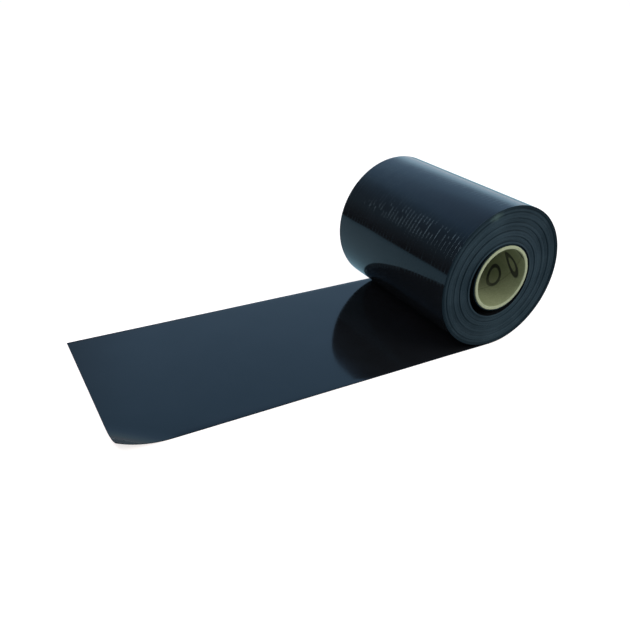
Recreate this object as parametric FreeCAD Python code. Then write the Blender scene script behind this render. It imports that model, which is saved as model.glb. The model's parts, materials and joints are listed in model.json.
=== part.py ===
"""A roll of polyethylene damp proof course, lying on its side with a stretch paid out along the floor.

Two pieces: dpc_strip, the one strip that is both the winding and its flat free end, and core_tube, the
cardboard tube that it is wound on. Millimetres, +Z up, the floor at z = 0. The roll's axis is along Y,
the free end runs out towards -X, and the origin is the middle of the footprint.
"""

import FreeCAD, Part
import math
import os

from FreeCAD import Vector

# The strip
strip_width = 150.0
strip_thickness = 0.46
tail_length = 313.0  # flat on the floor, from the line where the roll stands to the cut end

# The roll
roll_diameter = 122.0
nip_half_width = 3.0  # the weight of the roll presses its last turn onto the free end over this far
core_wraps = 3  # turns wound tight on the tube before the loose ones
slack_gap = 4.8  # the loose turns' widest distance from the tight ones
slack_bite = 0.66  # how far the loose turns' circle runs into the tight ones where they meet
slack_angle = 214.6  # degrees from +X towards +Z, the direction of the widest gap

# The tube
core_bore_diameter = 50.0
core_wall = 2.8
core_clearance = 0.05  # radial, between the tube and the first turn

# The grooves that show on the two ends, where one band of turns stands against the next
turns_per_band = 5
groove_width = 0.35
groove_depth = 0.4
groove_margin = 0.8  # least wall left between a groove and the slack gap

# The corner of the free end that has curled up off the floor
curl_along_side = 38.0
curl_along_end = 34.0
curl_radius = 37.8

roll_radius = roll_diameter / 2
roll_x = (tail_length - roll_radius) / 2
end_x = roll_x - tail_length
near_y = -strip_width / 2
core_radius = core_bore_diameter / 2 + core_wall
wound_bore_radius = core_radius + core_clearance
wraps_radius = wound_bore_radius + core_wraps * strip_thickness
slack_radius = wraps_radius + (slack_gap - slack_bite) / 2
slack_offset = (slack_gap + slack_bite) / 2

ALONG_Y = Vector(0, 1, 0)
UP = Vector(0, 0, 1)


def on_axis(radius, offset=0.0, angle=0.0):
    """A round bar as long as the strip is wide, on the roll's axis or offset from it."""
    turn = math.radians(angle)
    foot = Vector(roll_x + offset * math.cos(turn), near_y, roll_radius + offset * math.sin(turn))
    return Part.makeCylinder(radius, strip_width, foot, ALONG_Y)


def wound_outline():
    """The strip seen from its edge: the free end, then once round the roll, one thickness lower at the nip.

    The right half is an arc about the roll's axis. The left half's radius is half a thickness less, so that
    it comes down onto the free end's top.
    """
    left_radius = roll_radius - strip_thickness / 2
    left_centre = roll_radius + strip_thickness / 2
    nip_x = roll_x - nip_half_width
    nip_z = left_centre - math.sqrt(left_radius**2 - nip_half_width**2)
    foot = Vector(roll_x, near_y, 0)
    right = Vector(roll_x + roll_radius, near_y, roll_radius)
    top = Vector(roll_x, near_y, roll_diameter)
    left = Vector(roll_x - left_radius, near_y, left_centre)
    nip_over = Vector(nip_x, near_y, nip_z)
    nip_under = Vector(nip_x, near_y, strip_thickness)
    end_top = Vector(end_x, near_y, strip_thickness)
    end_foot = Vector(end_x, near_y, 0)
    return Part.Wire(
        [
            Part.Arc(foot, right, top).toShape(),
            Part.Arc(top, left, nip_over).toShape(),
            Part.LineSegment(nip_over, nip_under).toShape(),
            Part.LineSegment(nip_under, end_top).toShape(),
            Part.LineSegment(end_top, end_foot).toShape(),
            Part.LineSegment(end_foot, foot).toShape(),
        ]
    )


def slack():
    """The crescent between the tight turns and the loose ones, open at both ends of the roll."""
    return on_axis(slack_radius, slack_offset, slack_angle).cut(on_axis(wraps_radius))


def end_groove(radius, face_y):
    """A ring groove in the end of the roll whose plane is at face_y."""
    floor_y = face_y - math.copysign(groove_depth, face_y)
    low, high = min(face_y, floor_y), max(face_y, floor_y)
    foot = Vector(roll_x, low, roll_radius)
    outer = Part.makeCylinder(radius + groove_width / 2, high - low, foot, ALONG_Y)
    inner = Part.makeCylinder(radius - groove_width / 2, high - low, foot, ALONG_Y)
    return outer.cut(inner)


def end_grooves():
    """One groove for each band of turns, from the outside in, on both ends."""
    band = turns_per_band * strip_thickness
    innermost = slack_radius + slack_offset + groove_margin
    grooves = []
    radius = roll_radius - band
    while radius > innermost:
        grooves += [end_groove(radius, near_y), end_groove(radius, -near_y)]
        radius -= band
    return grooves


def corner_prism(height):
    """An upright prism on the free end's near corner, beyond the line where the curl starts."""
    corner = Vector(end_x, near_y, 0)
    on_side = Vector(end_x + curl_along_side, near_y, 0)
    on_end = Vector(end_x, near_y + curl_along_end, 0)
    outline = Part.makePolygon([corner, on_side, on_end, corner])
    return Part.Face(outline).extrude(UP * height)


def curled_corner():
    """The corner itself, bent up round a level cylinder that the floor touches along the curl's first line."""
    start = Vector(end_x + curl_along_side, near_y, curl_radius)
    finish = Vector(end_x, near_y + curl_along_end, curl_radius)
    axis = finish - start
    under = Part.makeCylinder(curl_radius, axis.Length, start, axis)
    over = Part.makeCylinder(curl_radius - strip_thickness, axis.Length, start, axis)
    return under.cut(over).common(corner_prism(curl_radius))


def tight_strip():
    """The winding and its free end lying flat, before the grooves and the curl."""
    whole = Part.Face(wound_outline()).extrude(ALONG_Y * strip_width)
    return whole.cut([on_axis(wound_bore_radius), slack()])


def dpc_strip():
    cut = tight_strip().cut([*end_grooves(), corner_prism(2 * strip_thickness)])
    return cut.fuse(curled_corner()).removeSplitter()


def core_tube():
    return on_axis(core_radius).cut(on_axis(core_bore_diameter / 2))


def main():
    os.makedirs("parts", exist_ok=True)
    pieces = {"dpc_strip": dpc_strip(), "core_tube": core_tube()}
    for name, shape in pieces.items():
        (solid,) = shape.Solids
        print(f"{name}: valid {solid.isValid()}, {len(solid.Faces)} faces, {solid.Volume / 1000:.1f} cm3")
        solid.exportStep(f"parts/{name}.step")
    strip_length = tight_strip().Volume / (strip_width * strip_thickness)
    print(f"strip on the roll and off it: about {strip_length / 1000:.1f} m")


main()
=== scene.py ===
import json
import math
from functools import lru_cache

import bmesh
import bpy
from mathutils import Matrix, Vector, noise


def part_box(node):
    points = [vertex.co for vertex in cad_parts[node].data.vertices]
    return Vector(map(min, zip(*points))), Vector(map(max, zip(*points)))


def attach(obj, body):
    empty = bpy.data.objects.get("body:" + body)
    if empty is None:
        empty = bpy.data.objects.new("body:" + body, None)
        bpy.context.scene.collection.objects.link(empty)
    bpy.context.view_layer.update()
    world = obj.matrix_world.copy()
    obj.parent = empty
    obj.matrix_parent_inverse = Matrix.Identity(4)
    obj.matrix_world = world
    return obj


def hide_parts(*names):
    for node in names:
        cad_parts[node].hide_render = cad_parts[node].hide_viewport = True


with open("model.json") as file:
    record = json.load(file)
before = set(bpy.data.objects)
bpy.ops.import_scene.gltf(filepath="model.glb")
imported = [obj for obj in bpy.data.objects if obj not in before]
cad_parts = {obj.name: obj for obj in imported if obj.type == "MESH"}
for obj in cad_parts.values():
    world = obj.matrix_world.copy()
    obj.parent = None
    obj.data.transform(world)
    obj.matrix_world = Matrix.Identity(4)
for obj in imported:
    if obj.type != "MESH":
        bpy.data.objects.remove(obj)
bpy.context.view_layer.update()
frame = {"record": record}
print("frame loaded")

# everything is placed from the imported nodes: the roll's axis runs along Y over the floor at z = 0
stripLow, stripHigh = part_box("dpc_strip")
tubeLow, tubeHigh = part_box("core_tube")
axisX = (tubeLow.x + tubeHigh.x) / 2
axisZ = (tubeLow.z + tubeHigh.z) / 2
halfWidth = stripHigh.y
rollRadius = axisZ - stripLow.z
tubeRadius = (tubeHigh.z - tubeLow.z) / 2
mounts = {mount["name"]: mount for mount in frame["record"]["mounts"]}
boreRadius = mounts["core_bore"]["dims"]["r_mm"] / 1000
endX = stripLow.x
fullTurn = 2 * math.pi
mergeDistance = 2e-6


class Flow:
    # a socket that can stand in a sum
    def __init__(self, finish, socket):
        self.finish = finish
        self.socket = socket

    def math(self, operation, *others):
        return self.finish.node("ShaderNodeMath", {"operation": operation}, [self, *others])

    def __add__(self, other):
        return self.math("ADD", other)

    def __radd__(self, other):
        return self.math("ADD", other)

    def __sub__(self, other):
        return self.math("SUBTRACT", other)

    def __rsub__(self, other):
        return self.finish.node("ShaderNodeMath", {"operation": "SUBTRACT"}, [other, self])

    def __mul__(self, other):
        return self.math("MULTIPLY", other)

    def __rmul__(self, other):
        return self.math("MULTIPLY", other)

    def __truediv__(self, other):
        return self.math("DIVIDE", other)

    def __rtruediv__(self, other):
        return self.finish.node("ShaderNodeMath", {"operation": "DIVIDE"}, [other, self])

    def __pow__(self, other):
        return self.math("POWER", other)

    def out(self, name):
        # another output of the same node
        return Flow(self.finish, self.socket.node.outputs[name])

    def clamped(self):
        return self.math("MAXIMUM", 0.0).math("MINIMUM", 1.0)

    def step(self, low, high):
        # 0 below low, 1 above high, smooth between
        sockets = {"Value": self, "From Min": low, "From Max": high}
        return self.finish.node("ShaderNodeMapRange", {"interpolation_type": "SMOOTHSTEP"}, sockets)


class Finish:
    def __init__(self, name, tree=None):
        if tree is None:
            self.material = bpy.data.materials.new(name)
            self.material.use_nodes = True
            tree = self.material.node_tree
        self.tree = tree
        tree.nodes.clear()

    def node(self, kind, settings=None, sockets=None, out=0):
        # the settings go in first, then the values or links of the sockets
        made = self.tree.nodes.new(kind)
        for key, value in (settings or {}).items():
            if key == "stops":
                ramp = made.color_ramp
                while len(ramp.elements) < len(value):
                    ramp.elements.new(0.5)
                for element, (place, colour) in zip(ramp.elements, value):
                    element.position = place
                    element.color = (*colour, 1.0)
            else:
                setattr(made, key, value)
        pairs = sockets.items() if isinstance(sockets, dict) else enumerate(sockets or [])
        for key, value in pairs:
            if isinstance(value, Flow):
                self.tree.links.new(value.socket, made.inputs[key])
            elif isinstance(value, tuple) and len(value) == 3 and made.inputs[key].type == "RGBA":
                made.inputs[key].default_value = (*value, 1.0)
            else:
                made.inputs[key].default_value = value
        return Flow(self, made.outputs[out]) if made.outputs else None

    def blend(self, factor, first, second):
        # a colour between two others
        sockets = {0: factor, 6: first, 7: second}
        return self.node("ShaderNodeMix", {"data_type": "RGBA"}, sockets, out=2)

    def noise(self, vector, scale, detail=2.0, rough=0.5):
        sockets = {"Vector": vector, "Scale": scale, "Detail": detail, "Roughness": rough}
        return self.node("ShaderNodeTexNoise", {}, sockets)

    def lineNoise(self, number, detail):
        # noise that changes with one number only
        sockets = {"W": number, "Scale": 1.0, "Detail": detail}
        return self.node("ShaderNodeTexNoise", {"noise_dimensions": "1D"}, sockets)

    def place(self):
        return self.node("ShaderNodeTexCoord", out=3)

    def split(self, vector):
        return self.node("ShaderNodeSeparateXYZ", {}, [vector])

    def along(self):
        # the two numbers of the piece's UV map
        parts = self.split(self.node("ShaderNodeUVMap", {"uv_map": "along"}))
        return parts, parts.out("Y")

    def bump(self, height, distance, normal=None):
        sockets = {"Height": height, "Distance": distance, "Strength": 1.0}
        if normal is not None:
            sockets["Normal"] = normal
        return self.node("ShaderNodeBump", {}, sockets)

    def principled(self, sockets):
        shader = self.node("ShaderNodeBsdfPrincipled", {}, sockets)
        self.node("ShaderNodeOutputMaterial", {}, [shader])
        return self.material


strip = {
    "looseTurns": 61,  # turns outside the crescent gap
    "tightTurns": 3,  # turns still tight on the tube
    "thickness": 0.00046,
    "tubeGap": 0.00005,  # between the tube and the first turn
    "anglesAround": 176,
    "skinRows": 30,  # rows of faces across the width
    "filmEdge": (0.16, 0.84),  # where a turn's flat edge starts and ends within its pitch
    "valleyDepth": 0.00032,  # between the edges of two turns
    "valleyGrowth": 1.1,  # how much deeper the valleys are where the turns step
    # counted from the outside: the turn where a group of turns steps in or out, and where it stands
    "steps": (
        (1.4, -0.0004),
        (5.0, 0.0001),
        (11.0, -0.0005),
        (20.0, 0.0003),
        (27.0, -0.0002),
        (33.0, 0.0004),
        (40.0, -0.0003),
        (49.0, 0.0002),
        (57.0, -0.0006),
    ),
    "stepReach": 0.5,  # turns on either side of a step over which it comes in
    "stepShade": (0.2, 1.3),  # turns away from a step where its dark line of painted shade starts to fade and ends
    "endDrift": 0.00018,  # how far single turns stand out of their group
    "tightInset": 0.0007,  # the tight turns stand this far in
    "endMargin": 0.0008,  # taken off the inner turns, so that none stands out of the strip's width
    "gapRadius": 0.0313,  # the loose turns' inner circle
    "gapOffset": 0.00273,  # its centre stands this far off the roll's axis
    "gapAngle": 214.6,  # degrees from +X towards +Z
    "gapLeast": 0.00003,  # between the loose turns and the tight ones where they nearly touch
    "skinWave": 0.00012,  # how far the outermost turn dips in
    "seamFade": 0.5,  # radians on either side of the roll's foot where the skin waves die out
    "tailStep": 0.0025,  # length of one row of faces
    "tailTop": 0.002,  # points of the tail lie below this height
    "tailWave": 0.0004,
    "tailRamp": (0.004, 0.06),  # away from the roll's foot, where the waves start and are full
    "sideReach": 0.0004,  # how far in from its sides the tail's cut edge goes
    "curlSide": 0.038,  # from the near corner to its fold, along the side
    "curlEnd": 0.034,  # and along the end
    "curlRadius": 0.0378,
}


def clamp(value):
    return min(1.0, max(0.0, value))


def smooth(value, low, high):
    t = clamp((value - low) / (high - low))
    return t * t * (3 - 2 * t)


def wobble(x, y=0.0, z=0.0):
    return noise.noise(Vector((x, y, z)))


def sectionOutline(mesh, inner, outer):
    # a closed outline at the foot of the roll: near end, outside, far end and inside
    corners = [(inner, -halfWidth), (outer, -halfWidth), (outer, halfWidth), (inner, halfWidth)]
    verts = [mesh.verts.new((axisX, y, axisZ - radius)) for radius, y in corners]
    return verts, [mesh.edges.new((verts[i], verts[(i + 1) % 4])) for i in range(4)]


def spinRound(mesh, steps):
    # a hair short of a full turn, so that the two ends can be told apart until they are merged
    bmesh.ops.spin(
        mesh,
        geom=mesh.verts[:] + mesh.edges[:],
        cent=(axisX, 0, axisZ),
        axis=(0, -1, 0),
        angle=fullTurn * 0.999999,
        steps=steps,
        use_merge=False,
        use_duplicate=False,
    )


def gapEdge(angle, least):
    # the loose turns' inner outline, seen from the roll's axis
    away = angle - math.radians(strip["gapAngle"])
    reach = strip["gapOffset"] * math.cos(away)
    reach += math.sqrt(strip["gapRadius"] ** 2 - (strip["gapOffset"] * math.sin(away)) ** 2)
    return max(reach, least)


@lru_cache(maxsize=None)
def endShift(hundredths):
    # how far a point stands along the axis and how near it is to a step, by the turns wound over it
    count = hundredths / 100
    reach = strip["stepReach"]
    near, far = strip["stepShade"]
    shift, stepped, last = 0.0, 0.0, 0.0
    for turn, place in strip["steps"]:
        shift += (place - last) * smooth(count, turn - reach, turn + reach)
        stepped = max(stepped, 1 - smooth(abs(count - turn), near, far))
        last = place
    shift += strip["endDrift"] * smooth(count, 1, 3) * wobble(count * 0.8, 1.9)
    return shift, stepped


def skinDip(around, y):
    # the outermost turn isn't quite round
    angle = around - math.pi / 2
    dip = 0.5 + wobble(angle * 1.7, y * 9, 2.0) + 0.5 * wobble(angle * 5, y * 24, 4.0)
    reach = strip["seamFade"]
    fade = smooth(around, 0.0, reach) * smooth(fullTurn - around, 0.0, reach)
    return strip["skinWave"] * fade * clamp(dip)


def windingMesh(inner, outer, turns, innerEdge, firstTurn, inset):
    # the winding is spun as plain rings, one tooth for each turn's edge, then laid as a spiral
    mesh = bmesh.new()
    _, edges = sectionOutline(mesh, inner, outer)
    bmesh.ops.subdivide_edges(mesh, edges=[edges[0], edges[2]], cuts=3 * turns - 1)
    bmesh.ops.subdivide_edges(mesh, edges=[edges[1], edges[3]], cuts=strip["skinRows"] - 1)
    spinRound(mesh, strip["anglesAround"])
    uv = mesh.loops.layers.uv.new("along")
    place = {}
    for vert in mesh.verts:
        x, y, z = vert.co.x - axisX, vert.co.y, vert.co.z - axisZ
        around = math.atan2(x, -z) % fullTurn
        part = (math.hypot(x, z) - inner) / (outer - inner) * turns
        tooth = round(part * 3)
        valley = tooth % 3 == 0
        if not valley:
            part = tooth // 3 + strip["filmEdge"][tooth % 3 - 1]
        place[vert] = (around, y, part, valley, abs(y) > halfWidth - mergeDistance)
    for face in mesh.faces:
        ends = all(place[vert][4] for vert in face.verts)
        face.material_index = 1 if ends else 0
        face.smooth = True
        for loop in face.loops:
            around, y, part, valley, atEnd = place[loop.vert]
            if ends:
                count = firstTurn + turns - part + around / fullTurn
                # the end faces carry in their UV map how near each point is to a step, for the
                # painted shade there
                loop[uv].uv = (count, endShift(round(count * 100))[1])
            else:
                loop[uv].uv = (around * rollRadius, y)
    for vert, (around, y, part, valley, atEnd) in place.items():
        lead = around / fullTurn
        buried = turns - part + lead  # turns wound over this point
        if part < 1:  # the first turn comes in as a wedge, so the bore has no step
            buried = turns - part * (1 - lead)
        angle = around - math.pi / 2
        radius = outer - buried * (outer - innerEdge(angle)) / turns
        shift, stepped = endShift(round((buried + firstTurn) * 100))
        if atEnd:
            side = math.copysign(1.0, y)
            margin = inset + strip["endMargin"] * smooth(buried + firstTurn, 0.2, 1.6)
            y = side * (halfWidth - margin) + shift
            if valley and 0.01 < buried < turns - 0.01:  # no valley on the winding's own two lines
                y -= side * strip["valleyDepth"] * (1 + strip["valleyGrowth"] * stepped)
        if buried + firstTurn < 1.01:  # nothing is wound over it
            radius -= skinDip(around, y)
        vert.co = (axisX + radius * math.cos(angle), y, axisZ + radius * math.sin(angle))
    bmesh.ops.remove_doubles(mesh, verts=mesh.verts, dist=mergeDistance)
    return mesh, uv


def layTail(mesh, uv):
    # the open mouth at the roll's foot is the strip's section, drawn out along the floor
    mouth = [edge for edge in mesh.edges if edge.is_boundary]
    print("section edges at the roll's foot:", len(mouth))
    length = axisX - endX
    count = round(length / strip["tailStep"])
    for _ in range(count):
        drawn = bmesh.ops.extrude_edge_only(mesh, edges=mouth)["geom"]
        moved = [item for item in drawn if isinstance(item, bmesh.types.BMVert)]
        bmesh.ops.translate(mesh, verts=moved, vec=(-length / count, 0, 0))
        mouth = [item for item in drawn if isinstance(item, bmesh.types.BMEdge)]
        for face in [item for item in drawn if isinstance(item, bmesh.types.BMFace)]:
            face.smooth = True
            side = all(abs(vert.co.y) > halfWidth - strip["sideReach"] for vert in face.verts)
            face.material_index = 1 if side else 0
            for loop in face.loops:
                loop[uv].uv = (loop.vert.co.x - axisX, loop.vert.co.y)
    for face in bmesh.ops.contextual_create(mesh, geom=mouth)["faces"]:
        face.material_index = 1
        face.smooth = False


def bendTail(mesh):
    # the tail isn't quite flat, and its near corner is bent up round a cylinder
    foldStart = Vector((endX + strip["curlSide"], -halfWidth))
    towardsCorner = Vector((-strip["curlEnd"], -strip["curlSide"])).normalized()
    bend = strip["curlRadius"]
    for vert in mesh.verts:
        x, y, z = vert.co
        if x > axisX - 0.0001 or z > strip["tailTop"]:
            continue
        ramp = smooth(axisX - x, *strip["tailRamp"])
        rise = 0.5 + 0.5 * wobble(x * 12, y * 9, 8.0) + 0.12 * wobble(x * 30, y * 20, 6.0)
        lift = strip["tailWave"] * ramp * clamp(rise)
        past = (Vector((x, y)) - foldStart).dot(towardsCorner)
        if past > 0:
            over = bend - strip["thickness"] * (z > strip["thickness"] / 2)
            lift = lift * smooth(-past, -0.01, 0.0)
            z = bend - math.sqrt(over**2 - past**2)
        vert.co.z = z + lift


def finishMesh(name, mesh, materials):
    data = bpy.data.meshes.new(name)
    mesh.to_mesh(data)
    mesh.free()
    for material in materials:
        data.materials.append(material)
    piece = bpy.data.objects.new(name, data)
    bpy.context.scene.collection.objects.link(piece)
    return piece


film = {
    "ribPitch": 0.004,  # grooves along the strip, counted across it
    "rowPitch": 0.0065,  # grooves across the strip, counted along it
    "drift": 0.0006,  # how far the grid wanders
    "driftScale": 30.0,
    "grooveWidth": 0.00055,
    "grooveDepth": 0.000063,
    # shares of the groove's depth: everywhere, then what is added on the roll,
    # in unrubbed patches, and in those of the fresh band
    "depthShares": (0.1, 0.08, 0.4, 0.42),
    "rowShare": 0.15,  # how deep the rows are beside the ribs
    "dashChance": 0.3,  # how much one dash differs from the next
    "patchScale": 60.0,
    "patchEdge": (0.5, 0.66),
    "freshBand": (0.222, 0.264),  # the stretch of the outer turn where the dashes are least rubbed
    "freshFade": (0.015, 0.01),  # before it and after it
    "sag": 0.0001,  # slow unevenness of the film
    "sagScale": 22.0,
    "roughness": 0.06,
    "haze": 0.04,  # added to the roughness in patches
    "hazeScale": 35.0,
    "dark": (0.0048, 0.0054, 0.006),
    "light": (0.0056, 0.0064, 0.0074),
    "tint": (0.4, 0.8, 1.0),
}


def groove(place, pitch, width):
    # 1 in the middle of a V groove, 0 on the flat between two grooves
    away = ((place / pitch).math("FRACT") - 0.5).math("ABSOLUTE") * (2 * pitch / width)
    return (1 - away).clamped()


def filmFinish():
    finish = Finish("blackFilm")
    along, across = finish.along()
    place = finish.place()
    # a fine grid pressed into the film, each of its dashes deeper or shallower than the next
    drift = finish.noise(place, film["driftScale"], 1.0) * film["drift"]
    rib = groove(across + drift, film["ribPitch"], film["grooveWidth"])
    row = groove(along + drift, film["rowPitch"], film["grooveWidth"])
    ribNumber = (across / film["ribPitch"]).math("FLOOR")
    rowNumber = (along / film["rowPitch"]).math("FLOOR")
    cell = finish.node("ShaderNodeCombineXYZ", {}, {"X": ribNumber, "Y": rowNumber})
    dash = finish.node("ShaderNodeTexWhiteNoise", {"noise_dimensions": "2D"}, {"Vector": cell})
    patches = finish.noise(place, film["patchScale"], 2.0) + dash * film["dashChance"]
    patches = patches.step(*film["patchEdge"])
    wound = along.step(0.0, 0.01)  # the lying tail has flattened out
    low, high = film["freshBand"]
    before, after = film["freshFade"]
    fresh = along.step(low - before, low) * (1 - along.step(high, high + after))
    base, onRoll, unrubbed, unworn = film["depthShares"]
    depth = base + wound * (patches * (unrubbed + fresh * unworn) + onRoll)
    grid = (rib * (1 - row)).math("MAXIMUM", row * film["rowShare"]) * depth
    slow = finish.bump(finish.noise(place, film["sagScale"], 1.0), film["sag"])
    haze = finish.noise(place, film["hazeScale"], 3.0)
    return finish.principled(
        {
            "Base Color": finish.blend(haze.step(0.3, 0.7), film["dark"], film["light"]),
            "Roughness": film["roughness"] + haze * film["haze"],
            "IOR": 1.5,
            "Specular IOR Level": 0.28,
            "Specular Tint": film["tint"],
            "Normal": finish.bump(1 - grid, film["grooveDepth"], slow),
        }
    )


turnEdges = {
    "dark": (0.003, 0.005, 0.0075),
    "light": (0.024, 0.036, 0.045),
    # shares of the light colour: everywhere, by groups of turns, by single turns, in smears
    "lightShares": (0.25, 0.35, 0.25, 0.3),
    "groupScale": 0.23,
    "turnScale": 1.7,
    "smearScale": 45.0,
    "stepPaintedShade": 0.5,
    "rimShadeDark": 0.8,
    "rimShadeTurns": (2.0, 10.0),  # painted shade darkens the outermost turns, less and less between these
    "tightShade": (60.4, 61.2),  # the turns where the tight ones start, painted dark as shade in the crescent
    "rimPatch": (0.045, 0.068, 0.062),
    "rimPatchTurn": 108.0,  # degrees from +X towards +Z
    "rimPatchRadius": 0.0572,
    "rimPatchSize": (0.0065, 0.003),  # along the rim and across it
    "rimPatchFray": 1.2,
    "frayScale": 260.0,
    "grainScale": 900.0,
    "grainDepth": 0.00008,
}


def rimPatchMask(finish, place):
    # a pale patch on the near rim
    turn = math.radians(turnEdges["rimPatchTurn"])
    cos, sin = math.cos(turn), math.sin(turn)
    length, depth = turnEdges["rimPatchSize"]
    parts = finish.split(place)
    x, z = parts - axisX, parts.out("Z") - axisZ
    alongRim = (z * cos - x * sin) / length
    outward = (x * cos + z * sin - turnEdges["rimPatchRadius"]) / depth
    fray = (finish.noise(place, turnEdges["frayScale"]) - 0.5) * turnEdges["rimPatchFray"]
    away = (alongRim * alongRim + outward * outward) ** 0.5 + fray
    nearEnd = 1 - parts.out("Y").step(-0.01, 0.01)
    return (1 - away.step(0.1, 1.3)) * nearEnd


def edgeFinish():
    finish = Finish("filmEdges")
    count, stepped = finish.along()
    place = finish.place()
    # groups of turns differ in tone, and painted shade darkens them where they step
    bands = finish.lineNoise(count * turnEdges["groupScale"], 3.0)
    fine = finish.lineNoise(count * turnEdges["turnScale"], 2.0)
    grain = finish.noise(place, turnEdges["grainScale"])
    smear = finish.noise(place, turnEdges["smearScale"], 3.0)
    base, byGroup, byTurn, bySmear = turnEdges["lightShares"]
    tone = base + bands.step(0.35, 0.65) * byGroup + fine.step(0.4, 0.7) * byTurn
    # painted shade darkens the edges where the turns step
    tone = tone + smear.step(0.35, 0.7) * bySmear - stepped * turnEdges["stepPaintedShade"]
    # painted shade darkens the outermost turns
    rimShade = 1 - count.step(*turnEdges["rimShadeTurns"])
    # painted shade darkens the tight turns in the crescent
    tone = tone - rimShade * turnEdges["rimShadeDark"] - count.step(*turnEdges["tightShade"])
    colour = finish.blend(tone.clamped(), turnEdges["dark"], turnEdges["light"])
    return finish.principled(
        {
            "Base Color": finish.blend(rimPatchMask(finish, place), colour, turnEdges["rimPatch"]),
            "Roughness": 0.5 + grain * 0.15,
            "IOR": 1.5,
            "Specular IOR Level": 0.2,
            "Specular Tint": film["tint"],
            "Normal": finish.bump(grain, turnEdges["grainDepth"]),
        }
    )


def makeStrip():
    firstRadius = tubeRadius + strip["tubeGap"]
    tightRadius = firstRadius + strip["tightTurns"] * strip["thickness"]
    pitch = (rollRadius - gapEdge(-math.pi / 2, tightRadius)) / strip["looseTurns"]
    print("turn pitch at the foot, mm:", round(pitch * 1000, 4))
    loose, uv = windingMesh(
        tightRadius,
        rollRadius,
        strip["looseTurns"],
        lambda angle: gapEdge(angle, tightRadius + strip["gapLeast"]),
        0,
        0.0,
    )
    layTail(loose, uv)
    bendTail(loose)
    bmesh.ops.recalc_face_normals(loose, faces=loose.faces)
    tight, _ = windingMesh(
        firstRadius,
        tightRadius,
        strip["tightTurns"],
        lambda angle: firstRadius,
        strip["looseTurns"],
        strip["tightInset"],
    )
    bmesh.ops.contextual_create(tight, geom=[edge for edge in tight.edges if edge.is_boundary])
    bmesh.ops.recalc_face_normals(tight, faces=tight.faces)
    # the tight turns join the loose ones in one piece
    scratch = bpy.data.meshes.new("scratch")
    tight.to_mesh(scratch)
    tight.free()
    loose.from_mesh(scratch)
    bpy.data.meshes.remove(scratch)
    for edge in loose.edges:
        if len({face.material_index for face in edge.link_faces}) == 2:
            edge.smooth = False
    print("strip: open edges", sum(edge.is_boundary for edge in loose.edges))
    print("strip: triangles", sum(len(face.verts) - 2 for face in loose.faces))
    return finishMesh("woundStrip", loose, [filmFinish(), edgeFinish()])


stripPiece = makeStrip()
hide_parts("dpc_strip")
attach(stripPiece, "root")
print("strip made")


tube = {
    "anglesAround": 160,
    "rows": 40,  # rows of faces along the tube
    "wallRows": 6,  # and across its cut ends
    "edgeRound": 0.0006,
    "ragged": 0.00018,
    "raggedReach": 0.002,  # how far in from its ends the tube is ragged
    "seamPitch": 0.085,
    "seamLine": (0.0003, 0.0009),  # half the seam's width, where it starts to fade and ends
    "bore": (0.2, 0.23, 0.12),
    "boreLight": (0.25, 0.275, 0.155),
    "blotchScale": 45.0,
    "fibre": (0.12, 0.125, 0.06),
    "fibreScale": 700.0,
    "ink": (0.022, 0.024, 0.016),
    # stamped marks on the bore: turn from the foot, place along the axis, slant,
    # half length, half width, line, and 1 for a hollow one
    "marks": (
        (94.5, -0.0605, 42.0, 0.0092, 0.0036, 0.0024, 1),
        (57.0, -0.0470, 25.0, 0.0088, 0.0058, 0.0024, 1),
        (129.0, -0.0722, 24.0, 0.0055, 0.0009, 0.0018, 0),
    ),
    "cut": (0.33, 0.36, 0.23),
    "cutReach": (0.0008, 0.0003),  # in from the ends, where the cut's colour starts and is full
    "ply": (0.24, 0.25, 0.15),
    "plyPitch": 0.0007,
    "reliefDepth": 0.00012,
}


def tubeMesh():
    mesh = bmesh.new()
    verts, _ = sectionOutline(mesh, boreRadius, tubeRadius)
    bmesh.ops.bevel(
        mesh,
        geom=verts,
        offset=tube["edgeRound"],
        offset_type="OFFSET",
        segments=3,
        profile=0.5,
        affect="VERTICES",
        material=-1,
    )
    reach = {edge: abs(edge.verts[0].co.y - edge.verts[1].co.y) for edge in mesh.edges}
    lengthwise = [edge for edge in mesh.edges if reach[edge] > halfWidth]
    endwise = [edge for edge in mesh.edges if reach[edge] < 1e-7]
    bmesh.ops.subdivide_edges(mesh, edges=lengthwise, cuts=tube["rows"] - 1)
    bmesh.ops.subdivide_edges(mesh, edges=endwise, cuts=tube["wallRows"] - 1)
    spinRound(mesh, tube["anglesAround"])
    uv = mesh.loops.layers.uv.new("along")
    for face in mesh.faces:
        face.smooth = True
        for loop in face.loops:
            x, z = loop.vert.co.x - axisX, loop.vert.co.z - axisZ
            loop[uv].uv = (math.atan2(x, -z) % fullTurn, loop.vert.co.y)
    # the cut ends are a little ragged
    for vert in mesh.verts:
        x, y, z = vert.co.x - axisX, vert.co.y, vert.co.z - axisZ
        around = math.atan2(x, -z)
        near = smooth(abs(y), halfWidth - tube["raggedReach"], halfWidth)
        ring = math.hypot(x, z) * 900 + y
        rough = abs(wobble(math.cos(around) * 9, math.sin(around) * 9, ring))
        vert.co.y -= math.copysign(1.0, y) * near * tube["ragged"] * min(1.0, rough * 2)
    bmesh.ops.remove_doubles(mesh, verts=mesh.verts, dist=mergeDistance)
    bmesh.ops.recalc_face_normals(mesh, faces=mesh.faces)
    return mesh


def inkMark(around, across, mark):
    # an oval outline, or a filled dash, drawn on the unrolled bore
    turn, place, slant, long, wide, line, hollow = mark
    cos, sin = math.cos(math.radians(slant)), math.sin(math.radians(slant))
    a, b = (around - math.radians(turn)) * boreRadius, across - place
    p, q = (a * cos + b * sin) / long, (b * cos - a * sin) / wide
    away = ((p * p + q * q) ** 0.5 - hollow).math("ABSOLUTE") * wide
    return 1 - away.step(line * 0.3, line * 0.65)


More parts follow.
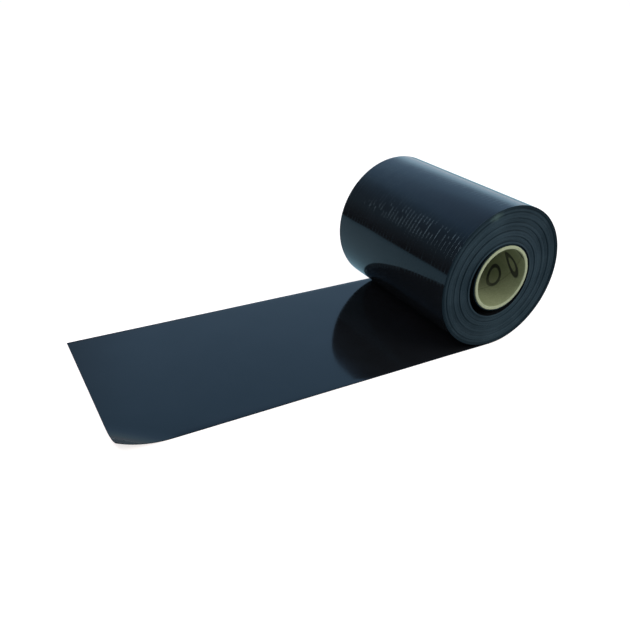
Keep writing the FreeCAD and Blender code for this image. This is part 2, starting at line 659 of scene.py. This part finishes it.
def tubeFinish():
    finish = Finish("kraftBoard")
    around, across = finish.along()
    place = finish.place()
    parts = finish.split(place)
    radius = ((parts - axisX) ** 2.0 + (parts.out("Z") - axisZ) ** 2.0) ** 0.5
    # fibres, and the paper's spiral seam on the bore
    seam = (across / tube["seamPitch"] + around / fullTurn).math("FRACT")
    seam = (seam - 0.5).math("ABSOLUTE") * tube["seamPitch"]
    line = 1 - seam.step(*tube["seamLine"])
    fibre = finish.noise(place, tube["fibreScale"], 4.0, 0.7)
    blotch = finish.noise(place, tube["blotchScale"], 3.0)
    colour = finish.blend(blotch.step(0.3, 0.7), tube["bore"], tube["boreLight"])
    colour = finish.blend(fibre.step(0.35, 0.7) * 0.35, colour, tube["fibre"])
    colour = finish.blend(line * 0.5, colour, tube["fibre"])
    # the ink has worn off in places
    ink = 0.0
    for mark in tube["marks"]:
        ink = inkMark(around, across, mark).math("MAXIMUM", ink)
    onBore = 1 - radius.step(boreRadius + tube["edgeRound"] / 2, boreRadius + tube["edgeRound"])
    left = 0.95 - blotch.step(0.45, 0.75) * 0.35
    colour = finish.blend(ink * onBore * left, colour, tube["ink"])
    # the board's plies on the cut ends
    ply = (radius * (fullTurn / tube["plyPitch"])).math("SINE") * 0.5 + 0.5
    start, full = tube["cutReach"]
    onCut = across.math("ABSOLUTE").step(halfWidth - start, halfWidth - full)
    cut = finish.blend(ply * 0.35, tube["cut"], tube["ply"])
    return finish.principled(
        {
            "Base Color": finish.blend(onCut, colour, cut),
            "Roughness": 0.85,
            "Specular IOR Level": 0.25,
            "Normal": finish.bump(fibre + ply * onCut - line * 0.6, tube["reliefDepth"]),
        }
    )


tubePiece = finishMesh("kraftTube", tubeMesh(), [tubeFinish()])
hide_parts("core_tube")
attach(tubePiece, "root")
print("tube made")


studio = {
    "floorSize": 40.0,
    "floorDrop": 0.00005,
    "floorTone": (0.46, 0.45, 0.44),
    "floorLift": (0.77, 0.73, 0.71),
    "floorGloss": (0.0, 0.19, 0.26),
    # the sky's colour by its height, from the horizon up, behind the roll and before it
    "behind": (
        (0.0, (0.93, 1.02, 1.16)),
        (0.27, (0.84, 1.26, 1.58)),
        (0.42, (0.5, 0.74, 1.02)),
        (0.5, (0.5, 0.77, 1.1)),
        (0.61, (0.56, 0.86, 1.22)),
        (0.72, (0.46, 0.66, 1.0)),
        (0.87, (0.5, 0.6, 0.7)),
    ),
    "before": (
        (0.0, (0.98, 1.0, 1.02)),
        (0.25, (0.93, 0.95, 0.97)),
        (0.5, (0.44, 0.45, 0.46)),
    ),
    # dark cards: degrees from +Y towards -X, distance, size, how dark at the foot and how much less
    # for each metre up, the height where the top's soft edge starts, and where the left and right
    # soft edges start and end
    "sideCard": (45.0, 0.9, (2.2, 1.25), 1.03, 0.6, 0.7, (-0.5, -1.0), (0.25, 1.05)),
    "lowCard": (4.5, 0.9, (0.6, 0.52), 0.62, 0.5, 0.28, (-0.12, -0.28), (0.12, 0.28)),
    "cardTone": (0.01, 0.01, 0.01),
    # lamps: degrees from +Y towards +X, degrees up, distance, size, power, colour
    "sideWindow": (-66.5, 37.5, 0.8, (0.16, 0.36), 2.4, (1.0, 0.76, 0.74)),
    "keyBox": (156.0, 41.0, 1.3, (0.9, 0.9), 12.0, (1.0, 1.0, 1.0)),
    # the camera looks from the left of the roll's near end, a little above it
    "cameraFromFoot": Vector((-0.37306, -0.40217, 0.27700)),
    "cameraRight": Vector((0.8659, -0.4981, 0.0463)),
    "cameraUp": Vector((0.2038, 0.4358, 0.8767)),
    "lens": 37.01,
}


def studioDirection(turn, height):
    # turn from +Y towards +X and height over the floor, in degrees
    flat = math.cos(math.radians(height))
    across, along = math.sin(math.radians(turn)), math.cos(math.radians(turn))
    return Vector((across * flat, along * flat, math.sin(math.radians(height))))


def floorFinish():
    # pale where it is seen, dimmer in the film's gloss, and no light of its own for anything else
    finish = Finish("paleFloor")
    rays = finish.node("ShaderNodeLightPath")
    seen = rays.math("MAXIMUM", rays.out("Is Transmission Ray"))
    glow = finish.blend(rays.out("Is Glossy Ray"), (0.0, 0.0, 0.0), studio["floorGloss"])
    glow = finish.blend(seen, glow, studio["floorLift"])
    plain = finish.node("ShaderNodeBsdfDiffuse", {}, {"Color": studio["floorTone"]})
    lift = finish.node("ShaderNodeEmission", {}, {"Color": glow, "Strength": 1.0})
    both = finish.node("ShaderNodeAddShader", {}, [plain, lift])
    finish.node("ShaderNodeOutputMaterial", {}, [both])
    return finish.material


def makeFloor():
    mesh = bmesh.new()
    bmesh.ops.create_grid(mesh, x_segments=1, y_segments=1, size=studio["floorSize"] / 2)
    bmesh.ops.translate(mesh, verts=mesh.verts, vec=(0, 0, -studio["floorDrop"]))
    floor = finishMesh("floor", mesh, [floorFinish()])


def makeCard(name):
    # a soft-edged dark card behind, out of sight, gives the gloss something dark to show
    turn, away, (wide, high), foot, fade, topEdge, left, right = studio[name]
    mesh = bmesh.new()
    bmesh.ops.create_grid(mesh, x_segments=1, y_segments=1, size=0.5)
    bmesh.ops.scale(mesh, verts=mesh.verts, vec=(wide, high, 1))
    bmesh.ops.rotate(mesh, verts=mesh.verts, matrix=Matrix.Rotation(math.radians(90), 3, "X"))
    bmesh.ops.translate(mesh, verts=mesh.verts, vec=(0, away, high / 2))
    bmesh.ops.rotate(mesh, verts=mesh.verts, matrix=Matrix.Rotation(math.radians(turn), 3, "Z"))
    bmesh.ops.translate(mesh, verts=mesh.verts, vec=(axisX, 0, 0))
    finish = Finish(name)
    parts = finish.split(finish.place())
    height = parts.out("Z")
    turned = studioDirection(90 - turn, 0)
    sideways = (parts - axisX) * turned.x + parts.out("Y") * turned.y
    dark = (foot - height * fade).clamped() * (1 - height.step(topEdge, high))
    dark = dark * (1 - sideways.step(*right)) * sideways.step(left[1], left[0])
    clear = finish.node("ShaderNodeBsdfTransparent")
    board = finish.node("ShaderNodeBsdfDiffuse", {}, {"Color": studio["cardTone"]})
    both = finish.node("ShaderNodeMixShader", {}, [dark, clear, board])
    finish.node("ShaderNodeOutputMaterial", {}, [both])
    card = finishMesh(name, mesh, [finish.material])
    for seen in ("camera", "diffuse", "transmission", "volume_scatter", "shadow"):
        setattr(card, "visible_" + seen, False)


def makeLamp(name):
    turn, height, away, size, power, colour = studio[name]
    data = bpy.data.lights.new(name, "AREA")
    data.color = colour
    data.shape = "RECTANGLE"
    data.size, data.size_y = size
    data.energy = power
    lamp = bpy.data.objects.new(name, data)
    outward = studioDirection(turn, height)
    place = Matrix.Translation(Vector((axisX, 0, axisZ)) + outward * away)
    lamp.matrix_world = place @ outward.to_track_quat("Z", "Y").to_matrix().to_4x4()
    lamp.visible_camera = False
    bpy.context.scene.collection.objects.link(lamp)


def makeWorld():
    world = bpy.data.worlds.new("studio")
    bpy.context.scene.world = world
    world.use_nodes = True
    finish = Finish("studio", world.node_tree)
    parts = finish.split(finish.node("ShaderNodeTexCoord", out="Generated"))
    height = parts.out("Z")
    behind = finish.node("ShaderNodeValToRGB", {"stops": studio["behind"]}, [height])
    before = finish.node("ShaderNodeValToRGB", {"stops": studio["before"]}, [height])
    sky = finish.blend(parts.out("Y").step(-0.35, 0.15), before, behind)
    glow = finish.node("ShaderNodeBackground", {}, {"Color": sky, "Strength": 1.0})
    finish.node("ShaderNodeOutputWorld", {}, [glow])


def makeCamera():
    data = bpy.data.cameras.new("camera")
    data.lens = studio["lens"]
    data.sensor_width = 36
    data.clip_start = 0.01
    data.clip_end = 100
    camera = bpy.data.objects.new("camera", data)
    right, up = studio["cameraRight"], studio["cameraUp"]
    spin = Matrix((right, up, right.cross(up))).transposed().to_4x4()
    foot = Vector((axisX, 0, 0))
    camera.matrix_world = Matrix.Translation(studio["cameraFromFoot"] + foot) @ spin
    bpy.context.scene.collection.objects.link(camera)
    bpy.context.scene.camera = camera


makeFloor()
makeCard("sideCard")
makeCard("lowCard")
makeLamp("sideWindow")
makeLamp("keyBox")
makeWorld()
makeCamera()
bpy.context.scene.view_settings.view_transform = "Standard"
print("studio made")
